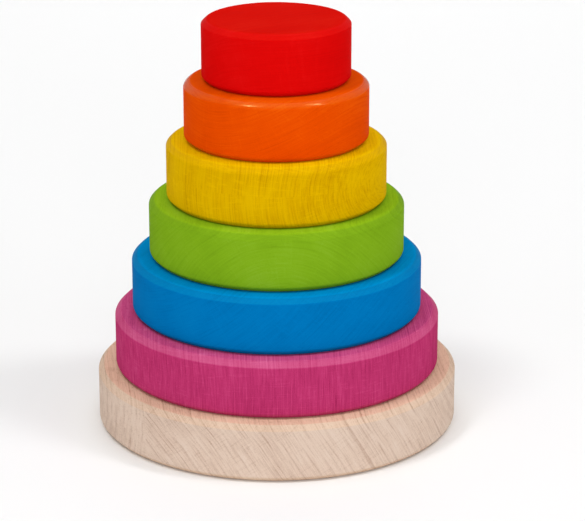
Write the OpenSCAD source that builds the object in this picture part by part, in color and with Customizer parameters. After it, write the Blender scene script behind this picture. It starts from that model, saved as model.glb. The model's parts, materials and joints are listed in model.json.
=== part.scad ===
// Stacking ring toy: a round base with a peg, five rings and a closed cap, all turned from beech.
// Millimetres, +Z up. The origin is the centre of the base's underside.

/* [Discs] */
// Diameter of the base, the widest disc
base_d = 150; // [120:1:180]
// Diameter of the cap, the narrowest disc
cap_d = 61; // [50:1:80]
// Thickness of the base and of the three widest rings
wide_disc_h = 24; // [18:0.5:32]
// Thickness of the two narrowest rings
narrow_disc_h = 25; // [18:0.5:32]
// Thickness of the cap
cap_h = 25.5; // [24:0.5:34]

/* [Edges] */
// Width of the chamfer around each disc's top edge
top_chamfer = 2.2; // [1.4:0.1:4]
// Width of the chamfer around each disc's bottom edge
bottom_chamfer = 2; // [1:0.1:4]
// Width of the chamfer that eases the mouth of each bore
bore_ease = 1; // [0.4:0.1:2]

/* [Peg] */
// Diameter of the peg, a dowel glued into the base
peg_d = 18; // [14:0.5:22]
// How much wider than the peg the bores of the rings and of the cap are
bore_clearance = 2; // [0.5:0.1:4]
// How far the peg reaches into the cap
peg_in_cap = 14; // [8:0.5:16]
// Gap between the peg's tip and the blind end of the cap's bore
tip_gap = 3; // [1:0.5:4]
// Radius that rounds the peg's tip
tip_r = 5; // [1:0.5:6]
// How far the peg's lower end sits above the base's underside, so that the toy can't rock on it
peg_setback = 0.5; // [0:0.1:2]

/* [Hidden] */
$fn = 96;

// Each disc has a place in the stack, counted from the base up.
BASE = 0;
PURPLE = 1;
BLUE = 2;
GREEN = 3;
YELLOW = 4;
ORANGE = 5;
CAP = 6;

// Thickness of each disc, from the base up.
thickness = [wide_disc_h, wide_disc_h, wide_disc_h, wide_disc_h, narrow_disc_h, narrow_disc_h, cap_h];

// Every chamfer is cut at this angle. Sanding has rounded its arrises: by the radii below on the
// discs' tops, from the base up, and all alike on their undersides. An arc has this many facets.
chamfer_angle = 45;
top_arris_r = [0.4, 0.4, 1, 1.8, 2.2, 1.8, 0.6];
bottom_arris_r = 1.4;
arris_steps = 4;
tip_steps = 8;

peg_r = peg_d / 2;
bore_r = peg_r + bore_clearance / 2;
cap_bore_depth = peg_in_cap + tip_gap;

// Width of the chamfer around the peg's lower end.
foot_ease = 1;

// The bit's spur leaves a small cone at the centre of the blind bore's end.
spur_r = 1.2;
spur_depth = 1.5;

// The diameters fall in equal steps from the base to the cap.
function disc_r(place) = (base_d - (base_d - cap_d) * place / CAP) / 2;

// Height of a disc's underside: the thickness of all the discs below it.
function disc_z(place) = place == 0 ? 0 : disc_z(place - 1) + thickness[place - 1];

// Points along an arc, from one angle to another.
function arc(centre, r, from, to, steps = arris_steps) = [
    for (k = [0:steps])
        let (angle = from + (to - from) * k / steps)
        centre + r * [cos(angle), sin(angle)]
];

// The top outer corner of a disc's half section: a chamfer with rounded arrises.
function chamfered_corner(r, z, width, round_r) =
    let (tangent = round_r * tan(chamfer_angle / 2))
    concat(
        arc([r - round_r, z - width - tangent], round_r, 0, chamfer_angle),
        arc([r - width - tangent, z - round_r], round_r, chamfer_angle, 90)
    );

// The same corner turned over, for the bottom edge. It runs from the axis outwards.
function lower_corner(r, width, round_r) =
    let (points = chamfered_corner(r, 0, width, round_r))
    [for (k = [len(points) - 1:-1:0]) [points[k][0], -points[k][1]]];

// The outer edge of a disc's half section, from its underside to its top.
function rim(place) = concat(
    lower_corner(disc_r(place), bottom_chamfer, bottom_arris_r),
    chamfered_corner(disc_r(place), thickness[place], top_chamfer, top_arris_r[place])
);

// A disc with a bore right through it, eased at both mouths.
module bored_disc(place, hole_r) {
    top = thickness[place];
    rotate_extrude()
        polygon(concat(
            [[hole_r, bore_ease], [hole_r + bore_ease, 0]],
            rim(place),
            [[hole_r + bore_ease, top], [hole_r, top - bore_ease]]
        ));
}

// A disc with a bore that stops inside it, so that its top is closed.
module blind_disc(place, hole_r, depth) {
    rotate_extrude()
        polygon(concat(
            [[0, depth + spur_depth], [spur_r, depth], [hole_r, depth]],
            [[hole_r, bore_ease], [hole_r + bore_ease, 0]],
            rim(place),
            [[0, thickness[place]]]
        ));
}

module ring(place) {
    translate([0, 0, disc_z(place)])
        bored_disc(place, bore_r);
}

module base() {
    color("bisque")
        bored_disc(BASE, peg_r);
}

// The peg is glued into the base along the base's straight bore.
module peg() {
    top = disc_z(CAP) + peg_in_cap;
    color("burlywood")
        rotate_extrude()
            polygon(concat(
                [[0, peg_setback], [peg_r - foot_ease, peg_setback], [peg_r, peg_setback + foot_ease]],
                arc([peg_r - tip_r, top - tip_r], tip_r, 0, 90, tip_steps),
                [[0, top]]
            ));
}

module purple_ring() {
    color("mediumvioletred")
        ring(PURPLE);
}

module blue_ring() {
    color("dodgerblue")
        ring(BLUE);
}

module green_ring() {
    color("yellowgreen")
        ring(GREEN);
}

module yellow_ring() {
    color("gold")
        ring(YELLOW);
}

module orange_ring() {
    color("orangered")
        ring(ORANGE);
}

module red_cap() {
    color("red")
        translate([0, 0, disc_z(CAP)])
            blind_disc(CAP, bore_r, cap_bore_depth);
}

base();
peg();
purple_ring();
blue_ring();
green_ring();
yellow_ring();
orange_ring();
red_cap();
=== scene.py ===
"""Looks of the stacking ring toy: turned beech discs, stained or bare, stacked on a glued beech peg."""

import json
import math
import random
from collections import namedtuple

import bpy
import numpy as np
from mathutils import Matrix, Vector


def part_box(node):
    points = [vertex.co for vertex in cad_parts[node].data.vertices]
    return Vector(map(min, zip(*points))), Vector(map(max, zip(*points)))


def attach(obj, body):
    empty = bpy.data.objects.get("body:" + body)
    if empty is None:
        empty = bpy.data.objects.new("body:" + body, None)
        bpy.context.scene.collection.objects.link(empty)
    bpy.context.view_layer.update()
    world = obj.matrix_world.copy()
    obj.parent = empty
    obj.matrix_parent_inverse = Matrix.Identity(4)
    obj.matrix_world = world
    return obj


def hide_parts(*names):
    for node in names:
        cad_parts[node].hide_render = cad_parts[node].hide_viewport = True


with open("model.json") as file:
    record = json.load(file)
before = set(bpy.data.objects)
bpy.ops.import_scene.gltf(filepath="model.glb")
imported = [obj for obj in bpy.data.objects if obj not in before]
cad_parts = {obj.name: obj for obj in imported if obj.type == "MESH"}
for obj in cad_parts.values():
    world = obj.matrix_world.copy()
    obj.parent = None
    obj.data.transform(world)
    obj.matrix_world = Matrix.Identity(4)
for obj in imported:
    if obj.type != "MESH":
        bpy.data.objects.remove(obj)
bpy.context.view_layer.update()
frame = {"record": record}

MM = 0.001


# ---------------------------------------------------------------- how the pieces are turned

SEGMENTS = 256
CORNER_STEPS = 6
TIP_STEPS = 12
CHAMFER_ANGLE = 45
TOP_CHAMFER = 2.2 * MM
BOTTOM_CHAMFER = 2.0 * MM
BOTTOM_ARRIS = 1.4 * MM
BORE_EASE = 1.0 * MM
BORE_GAP = 1.0 * MM
CAP_BORE_DEPTH = 17.0 * MM
SPUR_RADIUS = 1.2 * MM
SPUR_DEPTH = 1.5 * MM
TIP_RADIUS = 5.0 * MM
FOOT_EASE = 1.0 * MM

# Points beside each corner keep the flat faces' shading flat, and longer stretches get a few more.
SUPPORT = 0.25 * MM
SHORTEST_SUPPORTED = 3 * SUPPORT
LONGEST_STRETCH = 5.0 * MM

# Sanding by hand leaves each chamfer and each arris a little uneven around the disc.
CHAMFER_UNEVENNESS = 0.06
ARRIS_UNEVENNESS = 0.2
WAVES = 7
WEAKEST_WAVE = 0.4
WAVE_GAIN = 1.8

# Wear is 1 on the top chamfer's face, 0 on flat faces and sides, and these values elsewhere.
ARRIS_WEAR = 0.5
BOTTOM_WEAR = 0.2
EASED_WEAR = 0.5
TIP_WEAR = 0.3


def arc(centre, size, angles, wears, steps):
    """Points (radius, height, wear) along an arc. Angle and wear run between the two given of each."""
    points = []
    for step in range(steps + 1):
        share = step / steps
        angle = math.radians(angles[0] + (angles[1] - angles[0]) * share)
        wear = wears[0] + (wears[1] - wears[0]) * share
        points.append((centre[0] + size * math.cos(angle), centre[1] + size * math.sin(angle), wear))
    return points


def top_corner(radius, top, chamfer, arris, crown):
    """The chamfer around a disc's top edge, with the arris under it and the crown above it rounded."""
    reach = math.tan(math.radians(CHAMFER_ANGLE) / 2)
    outer = (radius - arris, top - chamfer - arris * reach)
    inner = (radius - chamfer - crown * reach, top - crown)
    return (
        arc(outer, arris, (0, CHAMFER_ANGLE), (ARRIS_WEAR, 1), CORNER_STEPS)
        + arc(inner, crown, (CHAMFER_ANGLE, 90), (1, 0), CORNER_STEPS)
    )


def bottom_corner(radius, bottom, chamfer, arris):
    """The chamfer under a disc, running outwards and then up. It is worn less than the top one."""
    upright = top_corner(radius, 0, chamfer, arris, arris)
    return [(r, bottom - z, BOTTOM_WEAR * wear) for r, z, wear in reversed(upright)]


def supported(rows, closed):
    """The outlines, one for each angle, with extra points along their straight stretches."""
    columns = []
    count = rows.shape[1]
    for j in range(count if closed else count - 1):
        here, there = rows[:, j], rows[:, (j + 1) % count]
        columns.append(here)
        length = float(np.linalg.norm((there - here)[:, :2], axis=1).mean())
        if length <= SHORTEST_SUPPORTED:
            continue
        inner = length - 2 * SUPPORT
        pieces = math.ceil(inner / LONGEST_STRETCH)
        for step in range(pieces + 1):
            place = here + (there - here) * (SUPPORT + inner * step / pieces) / length
            if length > LONGEST_STRETCH:
                place[:, 2] = 0.0
            columns.append(place)
    if not closed:
        columns.append(rows[:, -1])
    return np.stack(columns, 1)


class Unevenness:
    """A gentle wave around a disc, about -1 to 1, the same each run."""

    def __init__(self, seed):
        draw = random.Random(seed)
        self.waves = []
        for k in range(1, WAVES + 1):
            phase = draw.uniform(0, math.tau)
            weight = draw.uniform(WEAKEST_WAVE, 1) / math.sqrt(k)
            self.waves.append((k, phase, weight))
        self.total = sum(weight for _, _, weight in self.waves)

    def __call__(self, angle):
        swing = sum(weight * math.sin(k * angle + phase) for k, phase, weight in self.waves)
        return WAVE_GAIN * swing / self.total


def lathe(name, outline_at, closed):
    """Turns an outline about Z. A closed one leaves a bore, and an open one starts and ends on the axis."""
    angles = [math.tau * k / SEGMENTS for k in range(SEGMENTS)]
    rows = supported(np.array([outline_at(angle) for angle in angles]), closed)
    poles = [] if closed else [rows[0, 0], rows[0, -1]]
    if not closed:
        rows = rows[:, 1:-1]
    count = rows.shape[1]
    turn = np.array(angles)[:, None]
    points = np.stack([rows[:, :, 0] * np.cos(turn), rows[:, :, 0] * np.sin(turn), rows[:, :, 1]], 2)
    vertices = points.reshape(-1, 3).tolist() + [(0.0, 0.0, pole[1]) for pole in poles]
    wear = rows[:, :, 2].ravel().tolist() + [0.0 for _ in poles]
    low_pole, high_pole = SEGMENTS * count, SEGMENTS * count + 1
    faces = []
    for k in range(SEGMENTS):
        here, there = k * count, (k + 1) % SEGMENTS * count
        for j in range(count if closed else count - 1):
            after = (j + 1) % count
            faces.append((here + j, there + j, there + after, here + after))
        if not closed:
            faces.append((low_pole, there, here))
            faces.append((here + count - 1, there + count - 1, high_pole))
    mesh = bpy.data.meshes.new(name)
    mesh.from_pydata(vertices, [], faces)
    mesh.attributes.new("wear", "FLOAT", "POINT").data.foreach_set("value", wear)
    mesh.shade_smooth()
    mesh.update()
    piece = bpy.data.objects.new(name, mesh)
    bpy.context.scene.collection.objects.link(piece)
    return piece


def disc_outline(node, hole, arris, crown, seed, depth=None):
    """The outline of a disc at each angle. With a depth its bore is blind, and otherwise it goes through."""
    low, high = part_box(node)
    radius, bottom, top = high.x, low.z, high.z
    chamfer_wave, arris_wave = Unevenness(seed), Unevenness(seed + 1)

    def outline_at(angle):
        sanded = 1 + CHAMFER_UNEVENNESS * chamfer_wave(angle)
        rounded = 1 + ARRIS_UNEVENNESS * arris_wave(angle)
        rim = bottom_corner(radius, bottom, BOTTOM_CHAMFER, BOTTOM_ARRIS)
        rim += top_corner(radius, top, TOP_CHAMFER * sanded, arris * rounded, crown * sanded)
        mouth = [(hole, bottom + BORE_EASE, EASED_WEAR), (hole + BORE_EASE, bottom, EASED_WEAR)]
        if depth is None:
            return mouth + rim + [(hole + BORE_EASE, top, EASED_WEAR), (hole, top - BORE_EASE, EASED_WEAR)]
        blind_end = bottom + depth
        end = [(0.0, blind_end + SPUR_DEPTH, 0.0), (SPUR_RADIUS, blind_end, 0.0), (hole, blind_end, 0.0)]
        return end + mouth + rim + [(0.0, top, 0.0)]

    return outline_at


def peg_outline(_angle):
    """The outline of the peg, the same at every angle, with an eased foot and a rounded tip."""
    low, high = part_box("peg")
    radius = high.x
    foot = [
        (0.0, low.z, 0.0),
        (radius - FOOT_EASE, low.z, EASED_WEAR),
        (radius, low.z + FOOT_EASE, EASED_WEAR),
    ]
    centre = (radius - TIP_RADIUS, high.z - TIP_RADIUS)
    tip = arc(centre, TIP_RADIUS, (0, 90), (TIP_WEAR, TIP_WEAR), TIP_STEPS)
    return foot + tip + [(0.0, high.z, 0.0)]


# ---------------------------------------------------------------- nodes

RAMP_MIDDLE = 0.5

# Where a Mix node keeps its factor and what it needs for colours, among its inputs and its outputs.
MIX_FACTOR = 0
MIX_FIRST_COLOUR = 6
MIX_SECOND_COLOUR = 7
MIX_COLOUR_RESULT = 2


class Nodes:
    """Adds nodes to a material, so that a formula reads as a few short lines."""

    def __init__(self, material):
        self.tree = material.node_tree

    def put(self, socket, value):
        """Gives a node's input a number, a colour, a vector or another node's output."""
        if isinstance(value, bpy.types.NodeSocket):
            self.tree.links.new(value, socket)
        else:
            socket.default_value = value

    def add(self, kind, inputs=None, **settings):
        """A new node, with its settings and its inputs. Each input is what put takes."""
        node = self.tree.nodes.new("ShaderNode" + kind)
        for name, value in settings.items():
            setattr(node, name, value)
        for key, value in (inputs or {}).items():
            self.put(node.inputs[key], value)
        return node

    def math(self, operation, *values):
        return self.add("Math", dict(enumerate(values)), operation=operation).outputs[0]

    def total(self, *values):
        result = values[0]
        for value in values[1:]:
            result = self.math("ADD", result, value)
        return result

    def scaled(self, vector, by):
        return self.add("VectorMath", {0: vector, 1: by}, operation="MULTIPLY").outputs[0]

    def vector(self, x, y, z):
        return self.add("CombineXYZ", {0: x, 1: y, 2: z}).outputs[0]

    def noise(self, vector, detail=0.0, roughness=0.5):
        inputs = {"Vector": vector, "Scale": 1.0, "Detail": detail, "Roughness": roughness}
        return self.add("TexNoise", inputs).outputs["Fac"]

    def rise(self, value, low, high):
        """0 below low, 1 above high, and a smooth step between them."""
        inputs = {"Value": value, "From Min": low, "From Max": high}
        return self.add("MapRange", inputs, interpolation_type="SMOOTHSTEP").outputs[0]

    def spread(self, value, amount):
        """A noise about 0.5 as a push about 0, up to roughly amount either way."""
        return self.math("MULTIPLY_ADD", value, 2 * amount, -amount)

    def tint(self, where, colour, by):
        """The colour multiplied by another one, where the mask is 1."""
        node = self.add("Mix", data_type="RGBA", blend_type="MULTIPLY")
        self.put(node.inputs[MIX_FACTOR], where)
        self.put(node.inputs[MIX_FIRST_COLOUR], colour)
        self.put(node.inputs[MIX_SECOND_COLOUR], (*by, 1.0))
        return node.outputs[MIX_COLOUR_RESULT]

    def ramp(self, value, colours):
        """Colours spread evenly from 0 to 1."""
        node = self.add("ValToRGB", {0: value})
        elements = node.color_ramp.elements
        while len(elements) < len(colours):
            elements.new(RAMP_MIDDLE)
        for k, colour in enumerate(colours):
            elements[k].position = k / (len(colours) - 1)
            elements[k].color = colour
        return node.outputs["Color"]


# ---------------------------------------------------------------- solid beech

# How a piece was cut from its board. fibre is the direction of the fibres in plan, in degrees from +X.
# pith is where the middle of the tree was, in mm across and above the piece's own centre, and ring_width
# is one year's growth in mm. joint is where two staves are glued, in mm across, with the other one's pith.
# The strengths say how clearly the finish lets each feature show. Rays are pale, or dark where negative.
Cut = namedtuple("Cut", "fibre pith ring_width joint ring ray pore streak blotch")

# Each piece's noise starts this far along the fibres from the last one's, in mm.
PIECE_STEP = 400.0

# Years differ in width: steps of noise in a year, the place in the noise, and the most it shifts, in years.
PACE_STEP = 0.35
PACE_PLACE = (7.0, 3.0)
PACE_SHIFT = 1.6
# Years differ in strength: the faintest, the most that is added to it, and how rare the strong ones are.
FAINTEST_YEAR = 0.4
YEAR_STRENGTH = 0.5
STRONG_YEARS_RARE = 3.0
# The shares of a year where its dark line starts and is darkest, and how sharply it darkens.
LINE_START = 0.45
LINE_PEAK = 0.93
LINE_SHARPNESS = 2.0
# The dark lines fade in places: steps for each mm round and along the tree, and the noise's fading range.
FADE_ROUND = 0.07
FADE_ALONG = 0.03
FADE_RANGE = (0.3, 0.62)

# Each pace is steps of noise for each mm across, along and up. Each reach is how far the rings stray, in mm.
# Each range is the part of its noise over which a feature comes to show.
WANDER_PACE = (0.02, 0.005, 0.02)
WANDER_REACH = 2.0
SWAY_PACE = (0.09, 0.015, 0.09)
SWAY_REACH = 0.4
PORE_PACE = (2.8, 0.35, 2.8)
PORE_RANGE = (0.52, 0.75)
BLOTCH_PACE = (0.06, 0.03, 0.06)

# Angles round the pith become lengths at the piece's own distance from it, or in mm at least this one.
LEAST_REACH = 20.0

# Sizes of a ray and of a layer in a year's growth, in mm, and how rough the layers' noise is.
RAY_WIDTH = 0.6
RAY_LENGTH = 3.2
RAY_HEIGHT = 14.0
RAY_RANGE = (0.56, 0.72)
LAYER_THICKNESS = 0.55
LAYER_LENGTH = 45.0
LAYER_WIDTH = 9.0
LAYER_ROUGHNESS = 0.6

# How squarely a surface has to cut the fibres before it counts as end grain.
END_RANGE = (0.25, 1.0)


def board_frame(nodes, node, cut, upright):
    """Millimetres about the piece's centre, with Y along the fibres, and the surface normal turned alike."""
    low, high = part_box(node)
    middle = (low.z + high.z) / 2
    place = nodes.add("TexCoord")
    if upright:
        turn = (math.radians(-90), 0.0, 0.0)
        shift = (0.0, -middle / MM, 0.0)
    else:
        turn = (0.0, 0.0, math.radians(90 - cut.fibre))
        shift = (0.0, 0.0, -middle / MM)
    size = (1 / MM, 1 / MM, 1 / MM)
    inputs = {"Vector": place.outputs["Object"], "Location": shift, "Rotation": turn, "Scale": size}
    position = nodes.add("Mapping", inputs).outputs[0]
    normal = nodes.add("Mapping", {"Vector": place.outputs["Normal"], "Rotation": turn}).outputs[0]
    return position, normal


def offset_from_pith(nodes, cut, across, up):
    """How far a point is from the middle of its own stave's tree, across and above."""
    if cut.joint is None:
        return nodes.math("SUBTRACT", across, cut.pith[0]), nodes.math("SUBTRACT", up, cut.pith[1])
    place, other = cut.joint
    beyond = nodes.math("LESS_THAN", across, place)
    pith_x = nodes.math("MULTIPLY_ADD", beyond, other[0] - cut.pith[0], cut.pith[0])
    pith_z = nodes.math("MULTIPLY_ADD", beyond, other[1] - cut.pith[1], cut.pith[1])
    return nodes.math("SUBTRACT", across, pith_x), nodes.math("SUBTRACT", up, pith_z)


def growth_rings(nodes, cut, radius, arc, along):
    """Each year ends in a thin dark line. Years differ in width and strength, and lines fade in places."""
    pace_place = nodes.vector(nodes.math("MULTIPLY", radius, PACE_STEP / cut.ring_width), *PACE_PLACE)
    pace = nodes.noise(pace_place, detail=1.0)
    years = nodes.math("ADD", nodes.math("DIVIDE", radius, cut.ring_width), nodes.spread(pace, PACE_SHIFT))
    season = nodes.math("FRACT", years)
    year = nodes.math("FLOOR", years)
    vigour = nodes.add("TexWhiteNoise", {"W": year}, noise_dimensions="1D").outputs["Value"]
    rare = nodes.math("POWER", vigour, STRONG_YEARS_RARE)
    strength = nodes.math("MULTIPLY_ADD", rare, YEAR_STRENGTH, FAINTEST_YEAR)
    dark = nodes.math("POWER", nodes.rise(season, LINE_START, LINE_PEAK), LINE_SHARPNESS)
    line = nodes.math("MULTIPLY", dark, nodes.math("SUBTRACT", 1.0, nodes.rise(season, LINE_PEAK, 1.0)))
    fade_x, fade_y = nodes.math("MULTIPLY", arc, FADE_ROUND), nodes.math("MULTIPLY", along, FADE_ALONG)
    whole = nodes.rise(nodes.noise(nodes.vector(fade_x, fade_y, year), detail=2.0), *FADE_RANGE)
    return nodes.math("MULTIPLY", nodes.math("MULTIPLY", line, strength), whole)


def rays(nodes, radius, arc, along):
    """Thin upright sheets that fan out from the pith: fine lines on end grain, flecks elsewhere."""
    place = nodes.vector(
        nodes.math("DIVIDE", arc, RAY_WIDTH),
        nodes.math("DIVIDE", along, RAY_LENGTH),
        nodes.math("DIVIDE", radius, RAY_HEIGHT),
    )
    return nodes.rise(nodes.noise(place, detail=1.0), *RAY_RANGE)


def layers(nodes, radius, arc, along):
    """Within a year the wood changes in fine layers, which a finish brings out as lines beside the rings."""
    place = nodes.vector(
        nodes.math("DIVIDE", radius, LAYER_THICKNESS),
        nodes.math("DIVIDE", along, LAYER_LENGTH),
        nodes.math("DIVIDE", arc, LAYER_WIDTH),
    )
    return nodes.noise(place, detail=2.0, roughness=LAYER_ROUGHNESS)


def grain(nodes, node, cut, seed, upright):
    """The structure of solid beech in a piece, as values from 0 to 1."""
    board, normal = board_frame(nodes, node, cut, upright)
    split = nodes.add("SeparateXYZ", {0: board}).outputs
    across, up = split[0], split[2]
    start = PIECE_STEP * seed
    board = nodes.add("VectorMath", {0: board, 1: (0.0, start, 0.0)}, operation="ADD").outputs[0]
    along = nodes.math("ADD", split[1], start)

    # The rings wander a little along the tree and across it.
    wander = nodes.noise(nodes.scaled(board, WANDER_PACE), detail=1.0)
    sway = nodes.noise(nodes.scaled(board, SWAY_PACE), detail=1.0)
    from_pith_x, from_pith_z = offset_from_pith(nodes, cut, across, up)
    from_pith_x = nodes.total(from_pith_x, nodes.spread(wander, WANDER_REACH))
    from_pith_z = nodes.total(from_pith_z, nodes.spread(sway, SWAY_REACH))
    from_pith = nodes.vector(from_pith_x, 0.0, from_pith_z)
    radius = nodes.add("VectorMath", {0: from_pith}, operation="LENGTH").outputs[1]
    reach = max(LEAST_REACH, math.hypot(*cut.pith))
    arc = nodes.math("MULTIPLY", nodes.math("ARCTAN2", from_pith_z, from_pith_x), reach)

    facing = nodes.add("VectorMath", {0: normal, 1: (0.0, 1.0, 0.0)}, operation="DOT_PRODUCT").outputs[1]
    return {
        "ring": growth_rings(nodes, cut, radius, arc, along),
        "ray": rays(nodes, radius, arc, along),
        "pore": nodes.rise(nodes.noise(nodes.scaled(board, PORE_PACE), detail=1.0), *PORE_RANGE),
        "streak": layers(nodes, radius, arc, along),
        "blotch": nodes.noise(nodes.scaled(board, BLOTCH_PACE), detail=2.0),
        "end": nodes.rise(nodes.math("ABSOLUTE", facing), *END_RANGE),
    }


# The size of the normal's upward part where turned wood becomes a flat face, and a side a chamfer.
FLAT_RANGE = (0.85, 0.99)
CHAMFER_RANGE = (0.25, 0.5)


# The turned and shoulder masks place the side and chamfer tints, which carry painted shade and painted
# light, and the chamfers' gloss.
def slopes(nodes):
    """Where a disc's surface was turned, which is all but its flat faces, and where its chamfers are."""
    normal = nodes.add("TexCoord").outputs["Normal"]
    upward = nodes.math("ABSOLUTE", nodes.add("SeparateXYZ", {0: normal}).outputs[2])
    turned = nodes.math("SUBTRACT", 1.0, nodes.rise(upward, *FLAT_RANGE))
    shoulder = nodes.math("MULTIPLY", turned, nodes.rise(upward, *CHAMFER_RANGE))
    return turned, shoulder


# A finish's tones run from the darkest to the lightest, and end grain and worn chamfers move along them by
# end and wear. The sanded faces show the tones as they are. The turned surface's colour is multiplied by its
# side tint, and the chamfers' by chamfer as well. These two tints are partly how turned and sloped wood
# takes the stain and partly painted shade and painted light: they make the sides mostly darker, and the
# chamfers lighter or darker, than the tops, as light falls on them. rough is the surface's roughness, and
# glint is how much the wax shines on the chamfers, where hands have rubbed it.
Finish = namedtuple("Finish", "tones side chamfer end wear rough glint")

MIDDLE_TONE = 0.5
LEAST_WORN = 0.5

# The wood has hardly any sheen of its own, and its thin wax reflects the light yellower.
SURFACE_IOR = 1.02
ROUGHNESS_SPREAD = 0.08
WAX_TINT = (1.0, 0.82, 0.24, 1.0)

# How high each feature stands, as shares of the relief's depth.
PORE_RELIEF = -0.6
RAY_RELIEF = -0.3
RING_RELIEF = 0.3
STREAK_RELIEF = 0.8
RELIEF_DEPTH = 0.05 * MM
RELIEF_STRENGTH = 0.5


def wood(name, node, cut, finish, seed, upright=False):
    """A finished beech surface."""
    material = bpy.data.materials.new(name)
    material.use_nodes = True
    nodes = Nodes(material)
    surface = material.node_tree.nodes["Principled BSDF"].inputs
    mask = grain(nodes, node, cut, seed, upright)
    wear = nodes.add("Attribute", attribute_name="wear").outputs["Fac"]
    worn = nodes.math("MULTIPLY", wear, nodes.math("ADD", mask["blotch"], LEAST_WORN))
    turned, shoulder = slopes(nodes)

    tone = nodes.total(
        MIDDLE_TONE,
        nodes.math("MULTIPLY", mask["ring"], -cut.ring),
        nodes.math("MULTIPLY", mask["ray"], cut.ray),
        nodes.math("MULTIPLY", mask["pore"], -cut.pore),
        nodes.spread(mask["streak"], cut.streak),
        nodes.spread(mask["blotch"], cut.blotch),
        nodes.math("MULTIPLY", mask["end"], finish.end),
        nodes.math("MULTIPLY", worn, finish.wear),
    )
    colour = nodes.ramp(tone, finish.tones)
    # Partly painted shade and light: the side tint darkens the turned sides and the chamfer tint lightens or
    # darkens the chamfers as light falls on them, on top of how the stain takes there.
    colour = nodes.tint(turned, colour, finish.side)
    colour = nodes.tint(shoulder, colour, finish.chamfer)
    nodes.put(surface["Base Color"], colour)

    gloss = nodes.math("MULTIPLY", shoulder, finish.glint)
    dull = nodes.total(finish.rough, nodes.spread(mask["streak"], ROUGHNESS_SPREAD))
    nodes.put(surface["Roughness"], nodes.math("SUBTRACT", dull, gloss))
    nodes.put(surface["IOR"], nodes.math("ADD", gloss, SURFACE_IOR))
    nodes.put(surface["Specular Tint"], WAX_TINT)

    relief = nodes.total(
        nodes.math("MULTIPLY", mask["pore"], PORE_RELIEF),
        nodes.math("MULTIPLY", mask["ray"], RAY_RELIEF),
        nodes.math("MULTIPLY", mask["ring"], RING_RELIEF),
        nodes.math("MULTIPLY", mask["streak"], STREAK_RELIEF),
    )
    bump = nodes.add("Bump", {"Height": relief, "Strength": RELIEF_STRENGTH, "Distance": RELIEF_DEPTH})
    nodes.put(surface["Normal"], bump.outputs["Normal"])
    return material


def srgb(red, green, blue):
    """A colour given as 0 to 255 in sRGB, as linear values, by the standard's own formula."""
    def linear(value):
        value /= 255
        return value / 12.92 if value <= 0.04045 else ((value + 0.055) / 1.055) ** 2.4
    return (linear(red), linear(green), linear(blue), 1.0)


# ---------------------------------------------------------------- the toy's pieces

# arris and crown are the radii that round a disc's top chamfer, beside its side and beside its top.
Disc = namedtuple("Disc", "node slot arris crown cut finish")

# Each disc's side and chamfer tints are partly the stain's own look on turned and sloped wood and partly
# painted shade and painted light, which make its sides and chamfers darker or lighter than its top.
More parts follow.
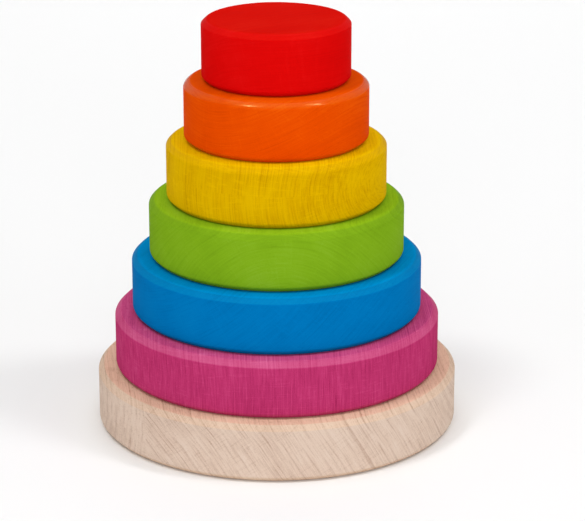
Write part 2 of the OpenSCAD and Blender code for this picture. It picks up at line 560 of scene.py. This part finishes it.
DISCS = [
    Disc(
        node="base", slot="base_beech", arris=0.4 * MM, crown=1.0 * MM,
        cut=Cut(
            fibre=96, pith=(-187, -117), ring_width=2.3, joint=(-58, (-190, 6)),
            ring=0.24, ray=-0.06, pore=0.12, streak=0.20, blotch=0.10,
        ),
        finish=Finish(
            tones=[srgb(151, 101, 78), srgb(227, 194, 167), srgb(245, 225, 207)],
            side=(0.91, 1.01, 1.14), chamfer=(0.99, 0.94, 0.87),
            end=0.0, wear=0.0, rough=0.6, glint=0.03,
        ),
    ),
    Disc(
        node="purple_ring", slot="purple_stain", arris=0.5 * MM, crown=1.2 * MM,
        cut=Cut(
            fibre=92, pith=(-400, -8), ring_width=0.8, joint=None,
            ring=0.20, ray=0.07, pore=0.11, streak=0.26, blotch=0.10,
        ),
        finish=Finish(
            tones=[srgb(146, 20, 74), srgb(209, 77, 127), srgb(238, 132, 172)],
            side=(0.80, 0.50, 0.71), chamfer=(0.97, 1.16, 0.99),
            end=-0.03, wear=0.22, rough=0.55, glint=0.04,
        ),
    ),
    Disc(
        node="blue_ring", slot="blue_stain", arris=0.8 * MM, crown=3.2 * MM,
        cut=Cut(
            fibre=70, pith=(-60, 80), ring_width=1.6, joint=None,
            ring=0.09, ray=0.04, pore=0.06, streak=0.10, blotch=0.10,
        ),
        finish=Finish(
            tones=[srgb(0, 76, 133), srgb(0, 137, 207), srgb(22, 166, 224)],
            side=(0.7, 0.68, 0.75), chamfer=(0.8, 1.12, 1.0),
            end=0.0, wear=0.04, rough=0.5, glint=0.04,
        ),
    ),
    Disc(
        node="green_ring", slot="green_stain", arris=1.8 * MM, crown=4.0 * MM,
        cut=Cut(
            fibre=90, pith=(2, -28), ring_width=1.8, joint=None,
            ring=0.11, ray=0.03, pore=0.09, streak=0.13, blotch=0.14,
        ),
        finish=Finish(
            tones=[srgb(87, 128, 7), srgb(141, 185, 28), srgb(171, 208, 74)],
            side=(0.78, 0.82, 0.94), chamfer=(0.99, 0.98, 1.0),
            end=0.0, wear=-0.05, rough=0.5, glint=0.05,
        ),
    ),
    Disc(
        node="yellow_ring", slot="yellow_stain", arris=1.8 * MM, crown=3.8 * MM,
        cut=Cut(
            fibre=92, pith=(48, 1), ring_width=1.3, joint=None,
            ring=0.24, ray=0.09, pore=0.09, streak=0.27, blotch=0.20,
        ),
        finish=Finish(
            tones=[srgb(176, 118, 0), srgb(228, 188, 1), srgb(248, 216, 30)],
            side=(0.90, 0.81, 0.3), chamfer=(1.0, 1.0, 0.8),
            end=-0.05, wear=0.0, rough=0.5, glint=0.06,
        ),
    ),
    Disc(
        node="orange_ring", slot="orange_stain", arris=1.8 * MM, crown=4.3 * MM,
        cut=Cut(
            fibre=60, pith=(-10, 55), ring_width=1.5, joint=None,
            ring=0.15, ray=0.04, pore=0.08, streak=0.13, blotch=0.12,
        ),
        finish=Finish(
            tones=[srgb(183, 41, 0), srgb(223, 80, 1), srgb(240, 124, 24)],
            side=(1.03, 0.87, 0.8), chamfer=(0.95, 1.04, 1.0),
            end=0.0, wear=0.04, rough=0.45, glint=0.33,
        ),
    ),
    Disc(
        node="red_cap", slot="red_stain", arris=0.7 * MM, crown=3.2 * MM,
        cut=Cut(
            fibre=35, pith=(30, -70), ring_width=1.4, joint=None,
            ring=0.07, ray=0.03, pore=0.05, streak=0.08, blotch=0.08,
        ),
        finish=Finish(
            tones=[srgb(156, 3, 1), srgb(206, 15, 7), srgb(228, 62, 40)],
            side=(1.10, 0.50, 1.10), chamfer=(0.96, 1.2, 1.1),
            end=0.0, wear=0.0, rough=0.5, glint=0.06,
        ),
    ),
]

# The peg's fibres run up it, so its angle in plan isn't used, and nothing tints its round side.
PEG_CUT = Cut(
    fibre=0, pith=(14, 6), ring_width=1.7, joint=None,
    ring=0.3, ray=-0.10, pore=0.12, streak=0.2, blotch=0.12,
)
PEG_FINISH = Finish(
    tones=[srgb(150, 108, 78), srgb(218, 186, 156), srgb(238, 214, 190)],
    side=(1, 1, 1), chamfer=(1, 1, 1),
    end=-0.1, wear=0.05, rough=0.5, glint=0.0,
)


def piece_body(node):
    """The CAD body that a node belongs to."""
    bodies = frame["record"]["behaviour"]["bodies"]
    return next(body for body, members in bodies.items() if node in members)


def finish_piece(piece, node, slot, material):
    piece.data.materials.append(material)
    body = piece_body(node)
    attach(piece, body)
    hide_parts(node)


# The peg is glued tight into the base, and everything else slides over it.
peg_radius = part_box("peg")[1].x
for seed, disc in enumerate(DISCS):
    blind = disc.node == "red_cap"
    hole = peg_radius if disc.node == "base" else peg_radius + BORE_GAP
    depth = CAP_BORE_DEPTH if blind else None
    outline = disc_outline(disc.node, hole, disc.arris, disc.crown, seed, depth)
    piece = lathe("turned_" + disc.node, outline, closed=not blind)
    material = wood(disc.slot, disc.node, disc.cut, disc.finish, seed)
    finish_piece(piece, disc.node, disc.slot, material)

peg = lathe("turned_peg", peg_outline, closed=False)
peg_wood = wood("peg_beech", "peg", PEG_CUT, PEG_FINISH, len(DISCS), upright=True)
finish_piece(peg, "peg", "peg_beech", peg_wood)

# ---------------------------------------------------------------- studio

FLOOR_HALF = 6.0
FLOOR_DROP = 0.1 * MM
FLOOR_COLOUR = (0.92, 0.92, 0.92, 1.0)
FLOOR_ROUGHNESS = 0.9
FLOOR_SHEEN = 0.1

AIR_COLOUR = (1.0, 1.0, 1.0, 1.0)
AIR_STRENGTH = 0.35

# A long lens, a metre in front of the toy's middle, looking down by CAMERA_PITCH degrees.
CAMERA_PLACE = (0.0066, -1.001, 0.409)
CAMERA_PITCH = 18.82
SENSOR_WIDTH = 36.0
LENS = 156.2

# A round softbox turned towards a target. A narrow spread, in degrees, is a grid over it.
Softbox = namedtuple("Softbox", "name position size power target spread")

TOY_MIDDLE = (0.0, 0.0, 0.085)
FAR_FLOOR = (0.0, 1.3, 0.0)
OPEN = 180
GRID = 90

SOFTBOXES = [
    Softbox("ceiling", (0.0, 0.0, 4.0), 5.0, 54.0, TOY_MIDDLE, OPEN),
    Softbox("top_left", (-0.55, -0.40, 1.50), 0.3, 4.9, TOY_MIDDLE, OPEN),
    Softbox("top_right", (0.80, -0.20, 1.35), 0.3, 4.3, TOY_MIDDLE, OPEN),
    Softbox("front", (0.0, -2.4, 0.9), 1.4, 16.3, TOY_MIDDLE, OPEN),
    Softbox("front_left", (-1.7, -1.7, 0.9), 1.4, 3.8, TOY_MIDDLE, OPEN),
    Softbox("front_right", (1.7, -1.7, 0.9), 1.4, 6.1, TOY_MIDDLE, OPEN),
    Softbox("far_floor", (0.0, 1.3, 1.6), 1.2, 3.0, FAR_FLOOR, GRID),
]


def make_floor():
    mesh = bpy.data.meshes.new("studio_floor")
    h, z = FLOOR_HALF, -FLOOR_DROP
    mesh.from_pydata([(-h, -h, z), (h, -h, z), (h, h, z), (-h, h, z)], [], [(0, 1, 2, 3)])
    floor = bpy.data.objects.new("studio_floor", mesh)
    bpy.context.scene.collection.objects.link(floor)
    material = bpy.data.materials.new("studio_paper")
    material.use_nodes = True
    surface = material.node_tree.nodes["Principled BSDF"].inputs
    surface["Base Color"].default_value = FLOOR_COLOUR
    surface["Roughness"].default_value = FLOOR_ROUGHNESS
    surface["Specular IOR Level"].default_value = FLOOR_SHEEN
    mesh.materials.append(material)


def make_world():
    world = bpy.data.worlds.new("studio_air")
    world.use_nodes = True
    background = world.node_tree.nodes["Background"].inputs
    background["Color"].default_value = AIR_COLOUR
    background["Strength"].default_value = AIR_STRENGTH
    bpy.context.scene.world = world


def make_camera():
    data = bpy.data.cameras.new("camera")
    data.sensor_width = SENSOR_WIDTH
    data.lens = LENS
    camera = bpy.data.objects.new("camera", data)
    camera.location = CAMERA_PLACE
    camera.rotation_euler = (math.radians(90 - CAMERA_PITCH), 0.0, 0.0)
    bpy.context.scene.collection.objects.link(camera)
    bpy.context.scene.camera = camera


def make_light(box):
    light = bpy.data.lights.new(box.name, "AREA")
    light.shape = "DISK"
    light.size = box.size
    light.energy = box.power
    light.spread = math.radians(box.spread)
    lamp = bpy.data.objects.new(box.name, light)
    lamp.location = box.position
    lamp.rotation_euler = (Vector(box.target) - Vector(box.position)).to_track_quat("-Z", "Y").to_euler()
    bpy.context.scene.collection.objects.link(lamp)


make_floor()
make_world()
make_camera()
for softbox in SOFTBOXES:
    make_light(softbox)
bpy.context.scene.view_settings.view_transform = "Standard"
